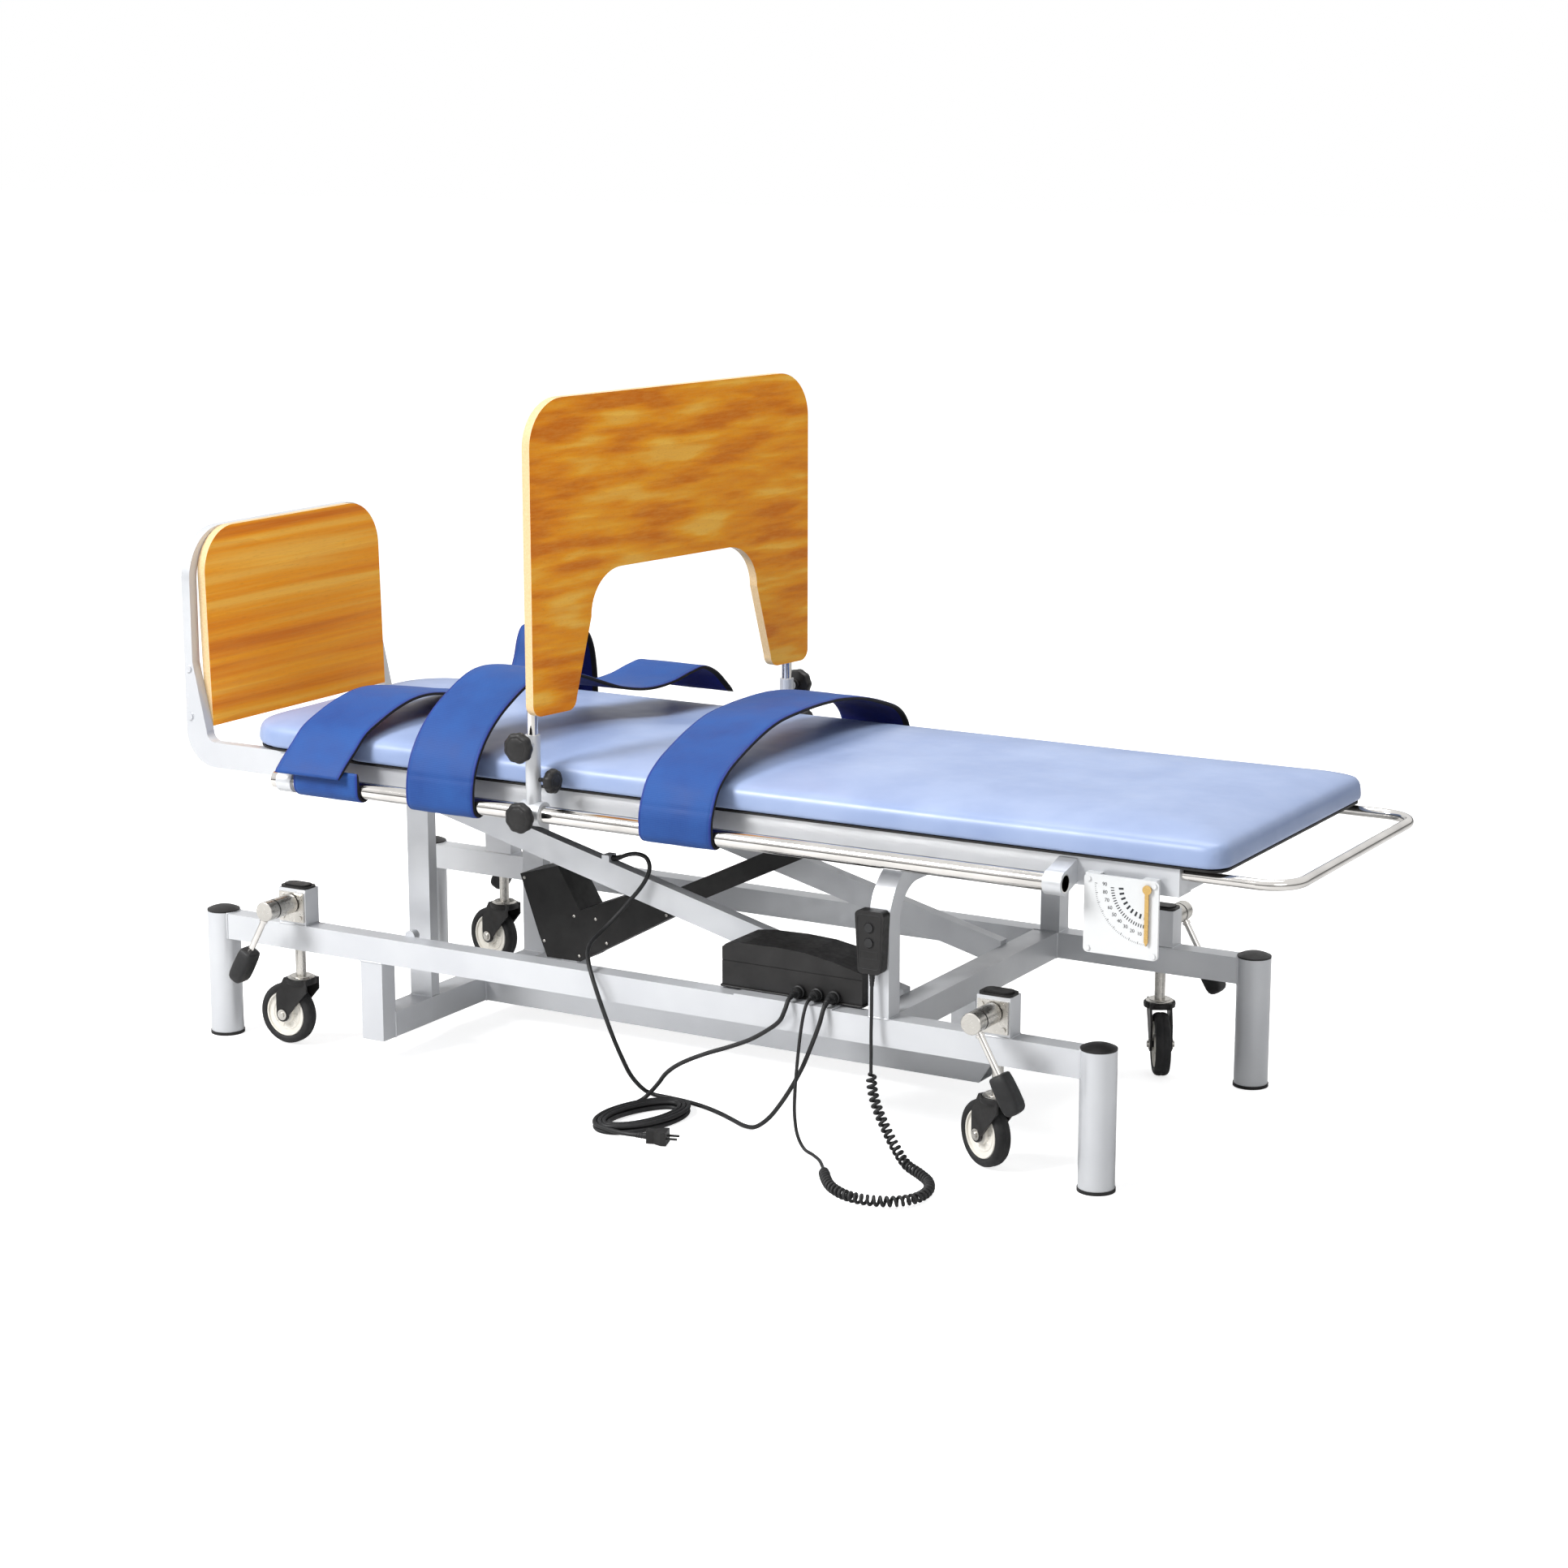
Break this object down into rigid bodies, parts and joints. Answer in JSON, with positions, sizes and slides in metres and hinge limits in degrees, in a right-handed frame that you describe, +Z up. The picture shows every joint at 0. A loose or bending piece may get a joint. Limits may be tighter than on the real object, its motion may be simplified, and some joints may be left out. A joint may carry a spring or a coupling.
{
  "type": "tilt table",
  "caption": "Electric physiotherapy tilt table with a footboard, body straps, an activity board, an angle dial, a handset and pedal-lifted casters.",
  "frame": {"origin": "middle of the overall length and width of the rigid table, without its loose cords, at floor level", "axes": "+X towards the head end, +Y towards the far side as seen from the handset's side, +Z up"},
  "size_m": [2.32, 1.0766, 1.285],
  "materials": {
    "silver_paint": "satin",
    "zinc": "satin",
    "chrome": "polished",
    "black_plastic": "satin",
    "soft_plastic": "satin",
    "button_plastic": "semi-gloss",
    "tyre": "matte",
    "blue_vinyl": "semi-gloss",
    "blue_webbing": "matte",
    "oak_veneer": "varnished",
    "white_plate": "semi-gloss",
    "brass": "satin"
  },
  "bodies": {
    "base": {"side_rails": "silver_paint", "centre_frame": "silver_paint", "tilt_stands": "silver_paint", "head_hoop": "silver_paint", "hinge_pins": "zinc", "corner_legs": "silver_paint", "leg_feet": "black_plastic", "tube_caps": "black_plastic", "caster_plates": "zinc", "control_box": "black_plastic", "handset": "black_plastic", "motor_cord": "soft_plastic", "mains_cord": "soft_plastic", "mains_coil": "soft_plastic", "mains_plug": "black_plastic", "handset_lead": "soft_plastic", "handset_curl": "soft_plastic"},
    "bed": {"bed_frame": "silver_paint", "mattress_board": "black_plastic", "mattress": "blue_vinyl", "side_tubes": "chrome", "tube_brackets": "silver_paint", "head_handle": "chrome", "foot_frame": "silver_paint", "footboard": "oak_veneer", "dial_plate": "white_plate", "strap_foot": "blue_webbing", "strap_knee": "blue_webbing", "strap_hip": "blue_webbing", "strap_chest": "blue_webbing"},
    "actuator_body": {"actuator_housing": "black_plastic"},
    "actuator_stem": {"actuator_rod": "chrome"},
    "pointer": {"dial_pointer": "brass"},
    "board_carriage": {"board_clamps": "silver_paint"},
    "activity_board": {"activity_board": "oak_veneer", "board_posts": "chrome"},
    "post_knob_near": {"post_knob_near": "black_plastic"},
    "post_knob_far": {"post_knob_far": "black_plastic"},
    "sleeve_knob_near": {"sleeve_knob_near": "black_plastic"},
    "sleeve_knob_far": {"sleeve_knob_far": "black_plastic"},
    "tube_knob_near": {"tube_knob_near": "black_plastic"},
    "tube_knob_far": {"tube_knob_far": "black_plastic"},
    "up_button": {"button_up": "button_plastic"},
    "down_button": {"button_down": "button_plastic"},
    "pedal_foot_near": {"pedal_lever_1": "zinc"},
    "stem_foot_near": {"caster_stem_1": "zinc"},
    "fork_foot_near": {"caster_fork_1": "black_plastic"},
    "wheel_foot_near": {"caster_wheel_1": "tyre"},
    "pedal_head_near": {"pedal_lever_2": "zinc"},
    "stem_head_near": {"caster_stem_2": "zinc"},
    "fork_head_near": {"caster_fork_2": "black_plastic"},
    "wheel_head_near": {"caster_wheel_2": "tyre"},
    "pedal_head_far": {"pedal_lever_3": "zinc"},
    "stem_head_far": {"caster_stem_3": "zinc"},
    "fork_head_far": {"caster_fork_3": "black_plastic"},
    "wheel_head_far": {"caster_wheel_3": "tyre"},
    "pedal_foot_far": {"pedal_lever_4": "zinc"},
    "stem_foot_far": {"caster_stem_4": "zinc"},
    "fork_foot_far": {"caster_fork_4": "black_plastic"},
    "wheel_foot_far": {"caster_wheel_4": "tyre"}
  },
  "joints": [
    {"name": "bed_tilt", "type": "hinge", "parent": "base", "child": "bed", "pos_m": [-0.674, 0, 0.493], "axis": [0, -1, 0], "range_deg": [0, 90]},
    {"name": "actuator_swing", "type": "hinge", "parent": "base", "child": "actuator_body", "pos_m": [-0.45, 0, 0.185], "axis": [0, -1, 0], "range_deg": [0, 75.3]},
    {"name": "actuator_stroke", "type": "slide", "parent": "actuator_body", "child": "actuator_stem", "axis": [0.8999, 0, 0.4361], "range_m": [0, 0.4825]},
    {"name": "pointer_swing", "type": "hinge", "parent": "bed", "child": "pointer", "pos_m": [0.914, -0.3408, 0.532], "axis": [0, -1, 0], "range_deg": [-90.1, 0]},
    {"name": "carriage_slide", "type": "slide", "parent": "bed", "child": "board_carriage", "axis": [1, 0, 0], "range_m": [-0.09, 0.06]},
    {"name": "board_height", "type": "slide", "parent": "board_carriage", "child": "activity_board", "axis": [0, 0, 1], "range_m": [-0.02, 0.06]},
    {"name": "post_knob_near_turn", "type": "hinge", "parent": "board_carriage", "child": "post_knob_near", "pos_m": [-0.291, -0.365, 0.66], "axis": [0, -1, 0], "range_deg": [0, 360]},
    {"name": "sleeve_knob_near_turn", "type": "hinge", "parent": "board_carriage", "child": "sleeve_knob_near", "pos_m": [-0.291, -0.365, 0.595], "axis": [1, 0, 0], "range_deg": [0, 360]},
    {"name": "tube_knob_near_turn", "type": "hinge", "parent": "board_carriage", "child": "tube_knob_near", "pos_m": [-0.291, -0.365, 0.531], "axis": [0, -1, 0], "range_deg": [0, 360]},
    {"name": "post_knob_far_turn", "type": "hinge", "parent": "board_carriage", "child": "post_knob_far", "pos_m": [-0.182, 0.365, 0.66], "axis": [0, 1, 0], "range_deg": [0, 360]},
    {"name": "sleeve_knob_far_turn", "type": "hinge", "parent": "board_carriage", "child": "sleeve_knob_far", "pos_m": [-0.182, 0.365, 0.595], "axis": [1, 0, 0], "range_deg": [0, 360]},
    {"name": "tube_knob_far_turn", "type": "hinge", "parent": "board_carriage", "child": "tube_knob_far", "pos_m": [-0.182, 0.365, 0.531], "axis": [0, 1, 0], "range_deg": [0, 360]},
    {"name": "up_button_press", "type": "slide", "parent": "base", "child": "up_button", "axis": [0, 1, 0], "range_m": [0, 0.002], "stiffness_N_per_m": 600},
    {"name": "down_button_press", "type": "slide", "parent": "base", "child": "down_button", "axis": [0, 1, 0], "range_m": [0, 0.002], "stiffness_N_per_m": 600},
    {"name": "pedal_foot_near_turn", "type": "hinge", "parent": "base", "child": "pedal_foot_near", "pos_m": [-0.86, -0.3425, 0.29], "axis": [0, -1, 0], "range_deg": [0, 58]},
    {"name": "stem_foot_near_lift", "type": "slide", "parent": "base", "child": "stem_foot_near", "axis": [0, 0, 1], "range_m": [0, 0.012]},
    {"name": "fork_foot_near_swivel", "type": "hinge", "parent": "stem_foot_near", "child": "fork_foot_near", "pos_m": [-0.86, -0.3425, 0.131], "axis": [0, 0, 1], "continuous": true},
    {"name": "wheel_foot_near_spin", "type": "hinge", "parent": "fork_foot_near", "child": "wheel_foot_near", "pos_m": [-0.893, -0.3425, 0.0615], "axis": [0, -1, 0], "continuous": true},
    {"name": "pedal_head_near_turn", "type": "hinge", "parent": "base", "child": "pedal_head_near", "pos_m": [0.646, -0.3425, 0.29], "axis": [0, 1, 0], "range_deg": [0, 58]},
    {"name": "stem_head_near_lift", "type": "slide", "parent": "base", "child": "stem_head_near", "axis": [0, 0, 1], "range_m": [0, 0.012]},
    {"name": "fork_head_near_swivel", "type": "hinge", "parent": "stem_head_near", "child": "fork_head_near", "pos_m": [0.646, -0.3425, 0.131], "axis": [0, 0, 1], "continuous": true},
    {"name": "wheel_head_near_spin", "type": "hinge", "parent": "fork_head_near", "child": "wheel_head_near", "pos_m": [0.61686, -0.32701, 0.0615], "axis": [-0.4695, -0.8829, 0], "continuous": true},
    {"name": "pedal_head_far_turn", "type": "hinge", "parent": "base", "child": "pedal_head_far", "pos_m": [0.646, 0.3425, 0.29], "axis": [0, 1, 0], "range_deg": [0, 58]},
    {"name": "stem_head_far_lift", "type": "slide", "parent": "base", "child": "stem_head_far", "axis": [0, 0, 1], "range_m": [0, 0.012]},
    {"name": "fork_head_far_swivel", "type": "hinge", "parent": "stem_head_far", "child": "fork_head_far", "pos_m": [0.646, 0.3425, 0.131], "axis": [0, 0, 1], "continuous": true},
    {"name": "wheel_head_far_spin", "type": "hinge", "parent": "fork_head_far", "child": "wheel_head_far", "pos_m": [0.6625, 0.31392, 0.0615], "axis": [0.866, 0.5, 0], "continuous": true},
    {"name": "pedal_foot_far_turn", "type": "hinge", "parent": "base", "child": "pedal_foot_far", "pos_m": [-0.86, 0.3425, 0.29], "axis": [0, -1, 0], "range_deg": [0, 58]},
    {"name": "stem_foot_far_lift", "type": "slide", "parent": "base", "child": "stem_foot_far", "axis": [0, 0, 1], "range_m": [0, 0.012]},
    {"name": "fork_foot_far_swivel", "type": "hinge", "parent": "stem_foot_far", "child": "fork_foot_far", "pos_m": [-0.86, 0.3425, 0.131], "axis": [0, 0, 1], "continuous": true},
    {"name": "wheel_foot_far_spin", "type": "hinge", "parent": "fork_foot_far", "child": "wheel_foot_far", "pos_m": [-0.8925, 0.34823, 0.0615], "axis": [-0.1736, -0.9848, 0], "continuous": true}
  ],
  "couplings": [
    {"joint": "actuator_swing", "follows": "bed_tilt", "ratio": 0.8357},
    {"joint": "actuator_stroke", "follows": "bed_tilt", "m_per_rad": 0.30686},
    {"joint": "pointer_swing", "follows": "bed_tilt", "ratio": -1},
    {"joint": "stem_foot_near_lift", "follows": "pedal_foot_near_turn", "m_per_rad": 0.01185},
    {"joint": "stem_head_near_lift", "follows": "pedal_head_near_turn", "m_per_rad": 0.01185},
    {"joint": "stem_head_far_lift", "follows": "pedal_head_far_turn", "m_per_rad": 0.01185},
    {"joint": "stem_foot_far_lift", "follows": "pedal_foot_far_turn", "m_per_rad": 0.01185}
  ]
}
